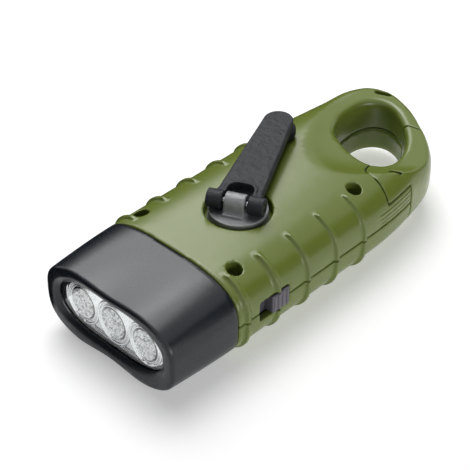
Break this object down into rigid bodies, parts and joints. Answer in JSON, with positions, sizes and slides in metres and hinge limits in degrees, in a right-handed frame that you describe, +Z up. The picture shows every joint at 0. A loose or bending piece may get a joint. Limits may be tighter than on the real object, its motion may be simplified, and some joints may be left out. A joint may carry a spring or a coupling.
{
  "type": "hand crank flashlight",
  "caption": "Flat hand-held torch with a folding side crank on top, gear-driven generator, solar cell, slide switch and a sprung carabiner ring at the tail.",
  "frame": {"origin": "on the plane that the underside rests on, below the middle of the torch", "axes": "+X along the beam, +Y towards the switch side, +Z up through the crank"},
  "size_m": [0.1275, 0.051, 0.0318],
  "materials": {
    "shell": "fine satin, olive green",
    "black": "satin black",
    "crank": "fine matt grain, charcoal",
    "knob": "black, a little gloss",
    "clear": "clear plastic",
    "chrome": "vacuum metallised",
    "steel": "zinc plated",
    "brass": "turned",
    "nylon": "natural nylon",
    "board": "green solder mask",
    "cell": "dark blue silicon",
    "copper": "enamelled wire",
    "magnet": "sintered ferrite"
  },
  "bodies": {
    "case": {"top_shell": "shell", "bottom_shell": "shell", "case_screw_1": "steel", "case_screw_2": "steel", "case_screw_3": "steel", "case_screw_4": "steel", "head_bezel": "black", "front_lens": "clear", "reflector": "chrome", "led_board": "board", "led_right": "clear", "led_centre": "clear", "led_left": "clear", "led_screw_1": "steel", "led_screw_2": "steel", "solar_window": "clear", "solar_cell": "cell", "main_board": "board", "switch_body": "steel", "battery_holder": "black", "battery_cell_1": "steel", "battery_cell_2": "steel", "idler_pin_1": "steel", "idler_pin_2": "steel", "gearbox_plate": "black", "gearbox_screw_1": "steel", "gearbox_screw_2": "steel", "gearbox_screw_3": "steel", "generator_can": "steel", "stator_core": "steel", "stator_coil": "copper", "gate_pin": "steel", "gate_spring": "steel"},
    "crank": {"crank_hub": "crank", "crank_gear": "nylon", "hub_washer": "steel", "hub_screw": "steel", "hinge_pin": "steel"},
    "arm": {"crank_arm": "crank", "knob_screw": "steel"},
    "knob": {"crank_knob": "knob"},
    "idler_1": {"idler_gear_1": "nylon"},
    "idler_2": {"idler_gear_2": "nylon"},
    "rotor": {"rotor_pinion": "brass", "rotor_magnet": "magnet"},
    "switch": {"switch_knob": "crank"},
    "gate": {"carabiner_gate": "shell"}
  },
  "joints": [
    {"name": "crank_spin", "type": "hinge", "parent": "case", "child": "crank", "pos_m": [0.01664, 0.0012, 0.0224], "axis": [0, 0, 1], "continuous": true},
    {"name": "crank_fold", "type": "hinge", "parent": "crank", "child": "arm", "pos_m": [0.01827, 0.00197, 0.0292], "axis": [-0.4274, 0.9041, 0], "range_deg": [0, 180]},
    {"name": "knob_spin", "type": "hinge", "parent": "arm", "child": "knob", "pos_m": [-0.0161, -0.01428, 0.02768], "axis": [0, 0, 1], "continuous": true},
    {"name": "idler_1_spin", "type": "hinge", "parent": "case", "child": "idler_1", "pos_m": [-0.00296, 0.0012, 0.0172], "axis": [0, 0, 1], "continuous": true},
    {"name": "idler_2_spin", "type": "hinge", "parent": "case", "child": "idler_2", "pos_m": [0.00884, -0.0087, 0.0145], "axis": [0, 0, 1], "continuous": true},
    {"name": "rotor_spin", "type": "hinge", "parent": "case", "child": "rotor", "pos_m": [0.01461, 0.00367, 0.0125], "axis": [0, 0, 1], "continuous": true},
    {"name": "switch_slide", "type": "slide", "parent": "case", "child": "switch", "axis": [1, 0, 0], "range_m": [0, 0.004]},
    {"name": "gate_swing", "type": "hinge", "parent": "case", "child": "gate", "pos_m": [-0.0273, 0.01699, 0.014], "axis": [0, 0, 1], "range_deg": [0, 25], "stiffness_Nm_per_rad": 0.05, "springref_deg": -17.19}
  ],
  "couplings": [
    {"joint": "idler_1_spin", "follows": "crank_spin", "ratio": -4.6},
    {"joint": "idler_2_spin", "follows": "crank_spin", "ratio": 15.64},
    {"joint": "rotor_spin", "follows": "crank_spin", "ratio": -52.133}
  ]
}
